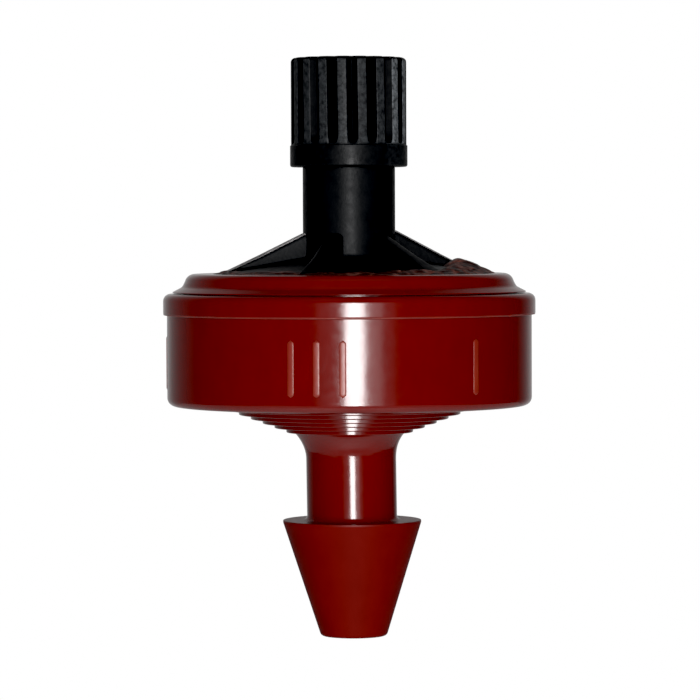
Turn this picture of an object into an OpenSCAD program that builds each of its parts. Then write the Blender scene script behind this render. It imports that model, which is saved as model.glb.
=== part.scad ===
// Pressure-compensating drip emitter with a barbed inlet, a floating diaphragm
// and a fluted push-on outlet cap. Millimetres, +Z up along the water's way out.
// z = 0 is the face that stops against the pipe, on the emitter's axis.

/* [Barbed inlet] */
// Diameter of the barb's shoulder
barb_d = 6.3; // [5.4:0.1:7.0]
// Diameter of the barb's tip
barb_tip_d = 3.0; // [2.6:0.1:3.6]
// Length of the barb, from its tip to its shoulder
barb_len = 5.3; // [3.5:0.1:8.0]
// Diameter of the neck that the pipe's wall grips
neck_d = 4.1; // [3.2:0.1:4.8]
// Length of the neck, from the shoulder to the stop face
neck_len = 4.0; // [3.0:0.1:6.0]
// Bore of the inlet
inlet_bore_d = 1.8; // [1.2:0.1:2.0]

/* [Body] */
// Diameter of the body's wall
body_d = 16.6; // [15.5:0.1:20.0]
// Height of the body, from its underside to the top of its bead
body_h = 5.1; // [4.6:0.1:7.0]
// Thickness of the cup's side wall
body_wall = 1.1; // [0.9:0.05:1.4]
// Thickness of the cup's floor
body_floor = 1.1; // [0.9:0.05:1.6]
// Height of the bead around the body's top
bead_h = 0.95; // [0.6:0.05:1.2]
// How far the bead stands out from the wall
bead_proud = 0.17; // [0.05:0.01:0.25]
// Depth of the terraces below the underside
terrace_drop = 1.23; // [0.8:0.01:1.8]
// Number of terraces
terrace_count = 6; // [3:1:8]
// Width of each terrace's tread
terrace_tread = 0.54; // [0.3:0.01:0.6]

/* [Retaining ring] */
// Height of the ring above the body's bead
ring_h = 0.85; // [0.7:0.05:1.6]
// How far the ring's lip stays inside the bead
ring_inset = 0.43; // [0.3:0.01:0.6]
// Depth of the skirt that drops inside the body
ring_skirt_h = 0.65; // [0.4:0.05:0.9]

/* [Outlet cover] */
// Diameter of the boss that fills the ring
boss_d = 11.7; // [9.7:0.1:12.2]
// Rise of the cover's cone, from the boss's edge to the stem
cone_rise = 0.65; // [0.3:0.05:1.2]
// Width of the stem's shoulder, all round the nipple
stem_shoulder = 0.4; // [0.3:0.05:0.6]
// Height of the stem's shoulder above the stop face
stem_top = 12.07; // [10.5:0.01:16.0]
// Bore of the outlet
outlet_bore_d = 1.5; // [1.0:0.1:1.8]
// Diameter of the nipple that a microtube pushes onto
nipple_d = 3.4; // [2.8:0.05:4.2]
// Length of the nipple
nipple_len = 3.95; // [3.0:0.05:5.0]
// Number of gussets
gusset_count = 6; // [3:1:8]
// Thickness of each gusset
gusset_t = 0.8; // [0.4:0.05:1.0]
// Height of each gusset above the cone, at the stem
gusset_h = 1.15; // [0.5:0.05:1.8]

/* [Outlet cap] */
// Thickness of the cap's wall at its plain collar
cap_wall = 0.77; // [0.6:0.01:1.0]
// Height of the collar
collar_h = 1.0; // [0.5:0.05:1.6]
// Number of flutes
flute_count = 18; // [10:1:20]
// Depth of the flutes
flute_depth = 0.24; // [0.1:0.01:0.28]
// Thickness of the cap's closed end
cap_end = 0.8; // [0.5:0.05:1.5]

/* [Flow path] */
// Thickness of the labyrinth disc
disc_t = 1.57; // [1.3:0.01:2.0]
// Depth of the channel
channel_depth = 0.8; // [0.5:0.05:1.0]
// Width of the channel
channel_w = 1.4; // [1.1:0.05:1.7]
// Number of baffles
baffle_count = 26; // [10:2:28]
// Thickness of each baffle
baffle_t = 0.4; // [0.25:0.05:0.45]
// Thickness of the strainer
strainer_t = 0.5; // [0.3:0.05:0.7]
// Thickness of the diaphragm
diaphragm_t = 0.8; // [0.5:0.05:1.0]
// How far the diaphragm lifts, from its seat to the metering seat
lift = 0.3; // [0.15:0.05:0.5]

/* [Fits] */
// Radial clearance between pieces that are fitted together
fit = 0.05; // [0.02:0.01:0.1]
// Clearance around the loose diaphragm
loose = 0.3; // [0.2:0.05:0.5]

/* [Hidden] */
$fn = 96;
// How far a cut or a joined shape runs past the surface it starts from
root = 0.2;

red = [0.52, 0.13, 0.08];
black = [0.06, 0.07, 0.08];

// Body
body_r = body_d / 2;
bead_r = body_r + bead_proud;
cup_r = body_r - body_wall;
underside_z = terrace_drop;
floor_z = underside_z + body_floor;
bead_top_z = underside_z + body_h;
wall_corner = 0.38;
bead_corner = 0.33;
first_tread_r = neck_d / 2 + 0.84;
neck_flare = 0.48;
neck_flare_h = 1.2;
shoulder_fillet = 0.23;
barb_land = 0.1;
tip_corner = 0.2;

// Strainer's pocket, in the floor over the inlet bore
strainer_r = 2.05;
pocket_r = strainer_r + fit;
ledge_w = 0.4;
chamber_r = pocket_r - ledge_w;
strainer_z = floor_z - strainer_t;
chamber_depth = 0.7;
slot_w = 0.25;
slot_pitch = 0.55;

// Labyrinth disc
disc_r = cup_r - 2 * fit;
disc_top_z = floor_z + disc_t;
centre_hole_r = 0.8;
recess_depth = 0.5;
channel_mid_r = disc_r - 0.8 - channel_w / 2;
channel_in_r = channel_mid_r - channel_w / 2;
channel_out_r = channel_mid_r + channel_w / 2;
divider_angle = 30;
baffle_reach = 0.6 * channel_w;
baffle_margin = 30;
feed_w = 1.0;
feed_depth = 0.6;
return_hole_r = 0.35;
return_hole_mid_r = channel_in_r + return_hole_r + 0.15;
seat_h = 0.15;
seat_w = 0.7;
post_count = 4;
post_w = 0.8;
post_l = 0.6;

// Diaphragm, at rest on the disc's seat, as wide as the return hole beside it leaves
diaphragm_r = return_hole_mid_r - return_hole_r - loose;
diaphragm_z = disc_top_z + seat_h;
diaphragm_top_z = diaphragm_z + diaphragm_t;

// Outlet cover
metering_z = diaphragm_top_z + lift;
metering_h = 0.3;
metering_w = 0.75;
groove_w = 0.3;
groove_depth = 0.15;
ceiling_z = metering_z + metering_h;
flange_r = cup_r - 2 * fit;
flange_z = bead_top_z + fit;
hollow_r = return_hole_mid_r + return_hole_r + 0.15;
boss_r = boss_d / 2;
nipple_r = nipple_d / 2;
stem_r = nipple_r + stem_shoulder;
nipple_top_z = stem_top + nipple_len;
nipple_bead_proud = 0.15;
nipple_bead_h = 0.5;
nipple_lead = 0.7;
nipple_lead_in = 0.15;
stem_fillet = 0.3;
gusset_phase = 12;
gusset_inset = 0.05;
gusset_root = 0.4;

// Retaining ring
ring_r = bead_r - ring_inset;
ring_top_z = flange_z + ring_h;
ring_bore_r = boss_r + fit;
ring_lip_t = 0.1;
ring_waist_r = ring_r - 0.44;
ring_waist_h = 0.26;
ring_crown = 0.45;
ring_crown_r = ring_r - 1.0;
skirt_t = 0.4;
skirt_in_r = flange_r + fit;
skirt_out_r = skirt_in_r + skirt_t;
cone_z = ring_top_z + fit;

// Outlet cap
socket_r = nipple_r + nipple_bead_proud + fit;
socket_top_z = nipple_top_z + 0.2;
cap_r = socket_r + cap_wall;
cap_top_z = socket_top_z + cap_end;
collar_step = 0.045;
flute_start = 0.05;
flute_mid_r = cap_r - collar_step;
flute_phase = 13;
cap_corner = 0.2;
collar_corner = 0.1;

// Points of an arc about [x, y], from angle a to angle b.
function arc(x, y, r, a, b, steps = 6) =
    [for (i = [0 : steps]) let (t = a + (b - a) * i / steps) [x + r * cos(t), y + r * sin(t)]];

// Radius of the arc that leaves a straight line and moves off by sag over a length.
function flare_radius(length, sag) = (length * length + sag * sag) / (2 * sag);

// The neck's trumpet flare, from the straight neck up to the stop face.
function neck_flare_arc() =
    let (r = flare_radius(neck_flare_h, neck_flare), turn = asin(neck_flare_h / r))
    arc(neck_d / 2 + r, -neck_flare_h, r, 180, 180 - turn);

// Radius and height of terrace k, counted from the stop face outwards.
function terrace_r(k) = first_tread_r + k * terrace_tread;
function terrace_z(k) = k * terrace_drop / terrace_count;

module inlet_body() {
    shoulder_z = -neck_len;
    tip_z = shoulder_z - barb_len;
    terraces = [for (k = [0 : terrace_count - 1])
        each [[terrace_r(k), terrace_z(k)], [terrace_r(k), terrace_z(k + 1)]]];
    outline = concat(
        [[inlet_bore_d / 2, tip_z]],
        arc(barb_tip_d / 2 - tip_corner, tip_z + tip_corner, tip_corner, -90, -18),
        [[barb_d / 2, shoulder_z - barb_land], [barb_d / 2, shoulder_z]],
        arc(neck_d / 2 + shoulder_fillet, shoulder_z + shoulder_fillet, shoulder_fillet, 270, 180),
        neck_flare_arc(),
        terraces,
        arc(body_r - wall_corner, underside_z + wall_corner, wall_corner, -90, 0),
        [[body_r, bead_top_z - bead_h], [bead_r, bead_top_z - bead_h]],
        arc(bead_r - bead_corner, bead_top_z - bead_corner, bead_corner, 0, 90),
        [
            [skirt_out_r + fit, bead_top_z],
            [skirt_out_r + fit, flange_z - ring_skirt_h - fit],
            [cup_r, flange_z - ring_skirt_h - fit],
            [cup_r, floor_z],
            [pocket_r, floor_z],
            [pocket_r, strainer_z],
            [chamber_r, strainer_z],
            [chamber_r, strainer_z - chamber_depth],
            [inlet_bore_d / 2, strainer_z - chamber_depth],
        ]
    );
    color(red)
        rotate_extrude() polygon(outline);
}

module inlet_strainer() {
    slots = floor((chamber_r - slot_w) / slot_pitch);
    color(black)
        difference() {
            translate([0, 0, strainer_z]) cylinder(r = strainer_r, h = strainer_t);
            for (i = [-slots : slots]) {
                half = sqrt(chamber_r * chamber_r - pow(abs(i) * slot_pitch + slot_w / 2, 2));
                translate([i * slot_pitch - slot_w / 2, -half, strainer_z - root])
                    cube([slot_w, 2 * half, strainer_t + 2 * root]);
            }
        }
}

// Baffle i of the labyrinth, standing from the channel's inner or outer wall in turn.
module baffle(i) {
    first = divider_angle / 2 + baffle_margin;
    step = (360 - 2 * first) / (baffle_count - 1);
    from_r = i % 2 == 0 ? channel_in_r - root : channel_out_r - baffle_reach;
    rotate([0, 0, first + i * step])
        translate([from_r, -baffle_t / 2, floor_z - root])
            cube([baffle_reach + root, baffle_t, channel_depth + 2 * root]);
}

module labyrinth_disc() {
    feed_angle = divider_angle / 2 + asin(0.9 * feed_w / channel_in_r);
    return_angle = -divider_angle / 2 - asin(1.4 * return_hole_r / return_hole_mid_r);
    color([0.85, 0.84, 0.80])
        difference() {
            union() {
                difference() {
                    translate([0, 0, floor_z]) cylinder(r = disc_r, h = disc_t);
                    difference() {
                        rotate([0, 0, divider_angle / 2])
                            rotate_extrude(angle = 360 - divider_angle)
                                translate([channel_in_r, floor_z - root])
                                    square([channel_w, channel_depth + root]);
                        for (i = [0 : baffle_count - 1]) baffle(i);
                    }
                    rotate([0, 0, feed_angle])
                        translate([0, -feed_w / 2, floor_z - root])
                            cube([channel_in_r + root, feed_w, feed_depth + root]);
                    translate([0, 0, floor_z - root])
                        cylinder(r = chamber_r, h = recess_depth + root);
                }
                translate([0, 0, disc_top_z - root])
                    cylinder(r = centre_hole_r + seat_w, h = seat_h + root);
                for (i = [0 : post_count - 1])
                    rotate([0, 0, 360 / post_count * (i + 0.5)])
                        translate([diaphragm_r + loose, -post_w / 2, disc_top_z - root])
                            cube([post_l, post_w, seat_h + diaphragm_t + root]);
            }
            translate([0, 0, floor_z - disc_t]) cylinder(r = centre_hole_r, h = 3 * disc_t);
            rotate([0, 0, return_angle])
                translate([return_hole_mid_r, 0, floor_z + channel_depth / 2])
                    cylinder(r = return_hole_r, h = 2 * disc_t, $fn = 48);
        }
}

module diaphragm() {
    edge = 0.12;
    outline = [
        [0, diaphragm_z], [diaphragm_r - edge, diaphragm_z],
        [diaphragm_r, diaphragm_z + edge], [diaphragm_r, diaphragm_top_z - edge],
        [diaphragm_r - edge, diaphragm_top_z], [0, diaphragm_top_z],
    ];
    color([0.25, 0.25, 0.26]) rotate_extrude() polygon(outline);
}

// One gusset, along +X. Its top edge runs straight from the stem down to the boss's rim.
module gusset() {
    head_z = cone_z + cone_rise + gusset_h;
    rotate([90, 0, 0])
        translate([0, 0, -gusset_t / 2])
            linear_extrude(gusset_t)
                polygon([
                    [outlet_bore_d, head_z], [stem_r - gusset_inset, head_z],
                    [boss_r - gusset_inset, cone_z], [boss_r - gusset_inset, cone_z - gusset_root],
                    [outlet_bore_d, cone_z - gusset_root],
                ]);
}

module outlet_cover() {
    stem_foot_z = cone_z + cone_rise;
    bead_z = nipple_top_z - nipple_lead - nipple_bead_h;
    outline = concat(
        [
            [outlet_bore_d / 2, metering_z], [outlet_bore_d / 2 + metering_w, metering_z],
            [outlet_bore_d / 2 + metering_w, ceiling_z], [hollow_r, ceiling_z],
            [hollow_r, disc_top_z], [flange_r, disc_top_z],
            [flange_r, flange_z], [boss_r, flange_z], [boss_r, cone_z],
        ],
        arc(stem_r + stem_fillet, stem_foot_z + stem_fillet, stem_fillet, 260, 180),
        [
            [stem_r, stem_top], [nipple_r, stem_top], [nipple_r, bead_z - nipple_bead_proud],
            [nipple_r + nipple_bead_proud, bead_z],
            [nipple_r + nipple_bead_proud, bead_z + nipple_bead_h],
            [nipple_r - nipple_lead_in, nipple_top_z], [outlet_bore_d / 2, nipple_top_z],
        ]
    );
    color(black)
        difference() {
            union() {
                rotate_extrude() polygon(outline);
                for (i = [0 : gusset_count - 1])
                    rotate([0, 0, gusset_phase + i * 360 / gusset_count]) gusset();
            }
            translate([0, -groove_w / 2, metering_z - root])
                cube([outlet_bore_d / 2 + metering_w + root, groove_w, groove_depth + root]);
        }
}

module retaining_ring() {
    outline = concat(
        [
            [ring_bore_r, flange_z], [skirt_in_r, flange_z],
            [skirt_in_r, flange_z - ring_skirt_h], [skirt_out_r, flange_z - ring_skirt_h],
            [skirt_out_r, flange_z], [ring_r, flange_z], [ring_r, flange_z + ring_lip_t],
            [ring_waist_r, flange_z + ring_waist_h],
        ],
        arc(ring_crown_r, ring_top_z - ring_crown, ring_crown, 15, 90),
        [[ring_bore_r, ring_top_z]]
    );
    color(red) rotate_extrude() polygon(outline);
}

module outlet_cap() {
    outline = concat(
        [[socket_r, stem_top]],
        arc(cap_r - collar_corner, stem_top + collar_corner, collar_corner, -90, 0),
        [[cap_r, stem_top + collar_h - collar_step], [flute_mid_r, stem_top + collar_h]],
        arc(flute_mid_r - cap_corner, cap_top_z - cap_corner, cap_corner, 0, 90),
        [[0, cap_top_z], [0, socket_top_z], [socket_r, socket_top_z]]
    );
    color(black)
        difference() {
            rotate_extrude() polygon(outline);
            for (i = [0 : flute_count - 1])
                rotate([0, 0, flute_phase + i * 360 / flute_count])
                    translate([flute_mid_r, 0, stem_top + collar_h + flute_start])
                        cylinder(r = flute_depth, h = nipple_len + cap_end, $fn = 32);
        }
}

inlet_body();
inlet_strainer();
labyrinth_disc();
diaphragm();
outlet_cover();
retaining_ring();
outlet_cap();
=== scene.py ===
"""Looks of a pressure-compensating drip emitter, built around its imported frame.

The visible shells are surfaces of revolution with rounded corners, the gussets, raised bars and
seams are sections carried along a path, and every finish is a procedural material. Lengths are in
metres. MM turns the sizes that are written in millimetres into metres.
"""

import logging
import math
from dataclasses import dataclass, field
from enum import Enum
from typing import Callable, Sequence

import bpy
import numpy as np
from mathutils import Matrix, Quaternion, Vector


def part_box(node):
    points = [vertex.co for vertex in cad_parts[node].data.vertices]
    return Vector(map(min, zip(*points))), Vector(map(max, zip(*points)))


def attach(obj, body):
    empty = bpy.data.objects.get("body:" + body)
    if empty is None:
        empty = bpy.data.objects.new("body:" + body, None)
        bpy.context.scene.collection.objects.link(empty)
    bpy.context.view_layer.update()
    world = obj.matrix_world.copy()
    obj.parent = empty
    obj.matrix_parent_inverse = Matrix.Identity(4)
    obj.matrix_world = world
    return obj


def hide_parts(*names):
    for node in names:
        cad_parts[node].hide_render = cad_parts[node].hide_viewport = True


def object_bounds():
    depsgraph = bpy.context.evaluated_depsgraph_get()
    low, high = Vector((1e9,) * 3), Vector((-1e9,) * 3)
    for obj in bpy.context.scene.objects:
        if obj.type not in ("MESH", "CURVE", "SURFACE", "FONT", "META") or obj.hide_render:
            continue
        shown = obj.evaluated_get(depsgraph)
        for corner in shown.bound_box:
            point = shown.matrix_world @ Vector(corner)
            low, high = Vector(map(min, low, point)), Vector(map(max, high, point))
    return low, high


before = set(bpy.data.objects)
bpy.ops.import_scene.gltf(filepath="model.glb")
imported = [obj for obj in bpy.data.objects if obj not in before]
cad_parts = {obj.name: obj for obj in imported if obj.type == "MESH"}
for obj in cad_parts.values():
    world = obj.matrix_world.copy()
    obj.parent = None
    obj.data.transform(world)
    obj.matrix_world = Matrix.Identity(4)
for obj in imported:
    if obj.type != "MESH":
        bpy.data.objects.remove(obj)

LOG = logging.getLogger("drip_emitter")
CAD_BOX = [list(corner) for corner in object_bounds()]
MM = 0.001
BODY = "emitter_body"
CAP_BODY = "outlet_cap"
TURN = 2 * math.pi
ARC_STEP = math.radians(15)
LONGEST_ARC_SHARE = 0.49
SAME_SPOT = 1e-9
Shift = Callable[[np.ndarray, np.ndarray, np.ndarray], tuple[np.ndarray, np.ndarray]]


class Slot(Enum):
    """The record's material slots that the pieces take their finish from."""

    RED = "red_plastic"
    BLACK = "black_plastic"
    CAP = "cap_plastic"
    NATURAL = "natural_plastic"
    STRAINER = "strainer_plastic"
    SILICONE = "silicone"


# --------------------------------------------------------------------------------------
# Meshes
# --------------------------------------------------------------------------------------


def make_mesh(
    name: str, points: np.ndarray, quads: np.ndarray, tris: np.ndarray | None = None
) -> bpy.types.Object:
    """Puts arrays of points and faces into a smooth-shaded mesh object.

    Args:
        name: The object's name.
        points: Points, n by 3, in metres.
        quads: Four-sided faces, as point numbers, m by 4.
        tris: Three-sided faces, as point numbers, k by 3.

    Returns:
        The new object, at the origin.
    """
    tris = np.zeros((0, 3), int) if tris is None else tris
    mesh = bpy.data.meshes.new(name)
    corners = np.concatenate([quads.ravel(), tris.ravel()]).astype(np.int32)
    counts = np.concatenate([np.full(len(quads), 4), np.full(len(tris), 3)])
    mesh.vertices.add(len(points))
    mesh.vertices.foreach_set("co", points.astype(np.float32).ravel())
    mesh.loops.add(len(corners))
    mesh.loops.foreach_set("vertex_index", corners)
    mesh.polygons.add(len(counts))
    starts = np.concatenate([[0], np.cumsum(counts)[:-1]]).astype(np.int32)
    mesh.polygons.foreach_set("loop_start", starts)
    mesh.update(calc_edges=True)
    mesh.validate()
    mesh.shade_smooth()
    piece = bpy.data.objects.new(name, mesh)
    bpy.context.scene.collection.objects.link(piece)
    return piece


def grid_quads(rows: int, columns: int, wrap_rows: bool, wrap_columns: bool) -> np.ndarray:
    """Faces of a rows-by-columns grid of points, joined end to end where it wraps.

    Args:
        rows: Number of rows of points.
        columns: Number of points in a row.
        wrap_rows: Whether the last row joins the first.
        wrap_columns: Whether each row's last point joins its first.

    Returns:
        Faces as point numbers, m by 4.
    """
    i = np.arange(rows if wrap_rows else rows - 1)[:, None]
    j = np.arange(columns if wrap_columns else columns - 1)[None, :]
    i_next, j_next = (i + 1) % rows, (j + 1) % columns
    corners = (i * columns + j, i_next * columns + j, i_next * columns + j_next, i * columns + j_next)
    return np.stack(np.broadcast_arrays(*corners), axis=-1).reshape(-1, 4)


def round_corners(
    corners: Sequence[tuple[float, float, float]], closed: bool, detail: float = 0.03 * MM
) -> np.ndarray:
    """Rounds the corners of an outline with tangent arcs.

    An arc of radius c in a corner of turn t starts c * tan(t / 2) before it and has its centre
    on the corner's bisector. A support point is kept near both ends of each straight stretch, so
    that smooth shading stays inside the arcs.

    Args:
        corners: (radius from the axis, height, corner radius) for each corner, in metres.
        closed: Whether the last corner joins the first.
        detail: Distance of the support points from an arc's ends.

    Returns:
        The outline's points, n by 2.
    """
    spots = np.array([c[:2] for c in corners])
    count = len(corners)
    stretches = []
    for k, (_, _, corner_radius) in enumerate(corners):
        spot = spots[k]
        if corner_radius <= 0 or (not closed and k in (0, count - 1)):
            stretches.append(spot[None, :])
            continue
        before, after = spots[k - 1] - spot, spots[(k + 1) % count] - spot
        before_length, after_length = np.linalg.norm(before), np.linalg.norm(after)
        before, after = before / before_length, after / after_length
        half = math.acos(float(np.clip(before @ after, -1, 1))) / 2
        longest = LONGEST_ARC_SHARE * min(before_length, after_length)
        reach = min(corner_radius / math.tan(half), longest)
        radius = reach * math.tan(half)
        bisector = (before + after) / np.linalg.norm(before + after)
        centre = spot + bisector * radius / math.sin(half)
        start, end = spot + before * reach - centre, spot + after * reach - centre
        turn = math.pi - 2 * half
        steps = max(3, math.ceil(turn / ARC_STEP))
        share = np.linspace(0, 1, steps + 1)[:, None]
        arc = (np.sin((1 - share) * turn) * start + np.sin(share * turn) * end) / math.sin(turn)
        stretches.append(centre + arc)
    points = []
    for k, stretch in enumerate(stretches):
        points.append(stretch)
        if closed or k < count - 1:
            start, end = stretch[-1], stretches[(k + 1) % count][0]
            length = np.linalg.norm(end - start)
            if length > 4 * detail:
                shares = np.array([[detail / length], [1 - detail / length]])
                points.append(start + shares * (end - start))
    outline = np.concatenate(points)
    apart = np.linalg.norm(np.diff(outline, axis=0, append=outline[:1]), axis=1) > SAME_SPOT
    apart[-1] |= not closed
    return outline[apart]


def divide_stretch(outline: np.ndarray, low: float, high: float, steps: int) -> np.ndarray:
    """Adds evenly spaced points to the outline's one long stretch between two heights.

    Args:
        outline: The outline's points, n by 2.
        low: Height at which the stretch begins.
        high: Height at which it ends.
        steps: Number of points to add.

    Returns:
        The outline with the points put in, in order.
    """
    following = np.roll(outline, -1, axis=0)
    spans = np.abs(np.clip(following[:, 1], low, high) - np.clip(outline[:, 1], low, high))
    k = int(np.argmax(spans))
    share = np.linspace(0, 1, steps + 2)[1:-1, None]
    extra = outline[k] + share * (following[k] - outline[k])
    return np.concatenate([outline[: k + 1], extra, outline[k + 1:]])


def revolve(
    name: str,
    outline: np.ndarray,
    segments: int,
    closed: bool = True,
    shift: Shift | None = None,
) -> bpy.types.Object:
    """Turns an outline round the Z axis: (r, z) at angle a goes to (r cos a, r sin a, z).

    Args:
        name: The object's name.
        outline: Points (radius, height), n by 2, with the material on their left.
        segments: Number of steps round the axis.
        closed: Whether the outline's last point joins its first. An open outline has both
            its ends on the axis, and each becomes a pole.
        shift: Gives the new radius and height from arrays of angle, radius and height.

    Returns:
        The new object, with its faces outwards.
    """
    angle = np.arange(segments)[:, None] * TURN / segments
    ring = outline if closed else outline[1:-1]
    radius, height = np.broadcast_arrays(ring[None, :, 0], ring[None, :, 1])
    radius = np.repeat(radius, segments, axis=0).astype(float)
    height = np.repeat(height, segments, axis=0).astype(float)
    angle = np.broadcast_to(angle, radius.shape)
    if shift is not None:
        radius, height = shift(angle, radius, height)
    points = np.stack([radius * np.cos(angle), radius * np.sin(angle), height], axis=-1).reshape(-1, 3)
    columns = len(ring)
    quads = grid_quads(segments, columns, True, closed)
    if closed:
        return make_mesh(name, points, quads)
    poles = np.array([[0, 0, outline[0, 1]], [0, 0, outline[-1, 1]]])
    first, last = len(points), len(points) + 1
    start = np.arange(segments) * columns
    following = np.roll(start, -1)
    end, end_following = start + columns - 1, following + columns - 1
    fans = np.concatenate([
        np.stack([np.full(segments, first), following, start], axis=-1),
        np.stack([np.full(segments, last), end, end_following], axis=-1),
    ])
    return make_mesh(name, np.concatenate([points, poles]), quads, fans)


def carry(name: str, sections: np.ndarray) -> bpy.types.Object:
    """Joins a row of closed sections into one closed solid, with a pole at each end.

    Args:
        name: The object's name.
        sections: Points, sections by points in a section by 3. Seen along the path,
            each section runs clockwise.

    Returns:
        The new object, with its faces outwards.
    """
    count, around, _ = sections.shape
    points = sections.reshape(-1, 3)
    quads = grid_quads(count, around, False, True)
    poles = np.stack([sections[0].mean(axis=0), sections[-1].mean(axis=0)])
    j = np.arange(around)
    following = (j + 1) % around
    last_row = (count - 1) * around
    fans = np.concatenate([
        np.stack([np.full(around, len(points)), j, following], axis=-1),
        np.stack([np.full(around, len(points) + 1), last_row + following, last_row + j], axis=-1),
    ])
    return make_mesh(name, np.concatenate([points, poles]), quads, fans)


def join(name: str, pieces: Sequence[bpy.types.Object]) -> bpy.types.Object:
    """Joins several mesh objects into one, for pieces that repeat.

    Args:
        name: The joined object's name.
        pieces: The objects, all at the origin.

    Returns:
        The joined object.
    """
    with bpy.context.temp_override(active_object=pieces[0], selected_editable_objects=list(pieces)):
        bpy.ops.object.join()
    pieces[0].name = pieces[0].data.name = name
    return pieces[0]


def ripple(angle: np.ndarray, seed: int, lowest: int, highest: int) -> np.ndarray:
    """A wavy line round a circle: a sum of cosines with random weights and phases.

    Args:
        angle: Angles in radians.
        seed: Seed of the random draws.
        lowest: Fewest waves in a turn.
        highest: Most waves in a turn.

    Returns:
        Values of about -1 to 1, with the shape of angle.
    """
    draws = np.random.default_rng(seed)
    waves = np.arange(lowest, highest + 1)
    weight = draws.normal(size=len(waves)) / np.sqrt(waves)
    phase = draws.uniform(0, TURN, len(waves))
    total = np.cos(angle[..., None] * waves + phase) @ weight
    return total / (2 * np.sqrt((weight**2).sum() / 2))


def smooth_step(value: np.ndarray, low: float, high: float) -> np.ndarray:
    """A soft step: 0 below low, 1 above high, and 3t^2 - 2t^3 between them.

    Args:
        value: Where to take the step.
        low: Value up to which it is 0.
        high: Value from which it is 1.

    Returns:
        The step's height, with the shape of value.
    """
    share = np.clip((value - low) / (high - low), 0, 1)
    return share * share * (3 - 2 * share)


# --------------------------------------------------------------------------------------
# Finishes
# --------------------------------------------------------------------------------------


class Operation(Enum):
    """How two values are combined."""

    ADD = "ADD"
    MULTIPLY = "MULTIPLY"


RANGE_SOCKETS = ("From Min", "From Max", "To Min", "To Max")


def map_range(
    tree: bpy.types.NodeTree, source: bpy.types.NodeSocket, limits: Sequence[float]
) -> bpy.types.NodeSocket:
    """Maps one range onto another, clamped at both ends.

    Args:
        tree: The node tree to add to.
        source: The value to map.
        limits: The value's low and high end, then the result's.

    Returns:
        The result.
    """
    node = tree.nodes.new("ShaderNodeMapRange")
    for socket, value in zip(RANGE_SOCKETS, limits):
        node.inputs[socket].default_value = value
    tree.links.new(source, node.inputs["Value"])
    return node.outputs["Result"]


def combine(
    tree: bpy.types.NodeTree,
    operation: Operation,
    first: bpy.types.NodeSocket,
    second: bpy.types.NodeSocket,
) -> bpy.types.NodeSocket:
    """Adds or multiplies two values.

    Args:
        tree: The node tree to add to.
        operation: What to do with them.
        first: One value.
        second: The other value.

    Returns:
        The result.
    """
    node = tree.nodes.new("ShaderNodeMath")
    node.operation = operation.value
    tree.links.new(first, node.inputs[0])
    tree.links.new(second, node.inputs[1])
    return node.outputs["Value"]


@dataclass(frozen=True)
class Grain:
    """One noise: how coarse its features are, and how much finer detail they carry.

    Attributes:
        size: Size of its largest features, in metres.
        detail: Number of finer layers.
        rough: Weight of each finer layer.
        stretch: Share of the scale along X, Y and Z: below 1 draws features out.
    """

    size: float
    detail: float = 3.0
    rough: float = 0.5
    stretch: tuple[float, float, float] = (1, 1, 1)


PATCHES = Grain(1.6 * MM, 5.0, 0.6)
FLOW_LINES = Grain(0.5 * MM, 4.0, 0.55, (1, 1, 0.25))
GLOSS_SPOTS = Grain(0.35 * MM, 4.0, 0.6)
SHRINK_WAVES = Grain(0.9 * MM, 1.5, 0.4)
SCUFF_SPECKLE = Grain(0.2 * MM, 5.0, 0.75)
SMEARS = Grain(0.45 * MM, 5.0, 0.65)
CRUMBS = Grain(0.15 * MM, 4.0, 0.7)
BLOOM_PATCHES = Grain(0.7 * MM, 5.0, 0.6)
SILICONE_SKIN = Grain(0.08 * MM, 2.0)


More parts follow.
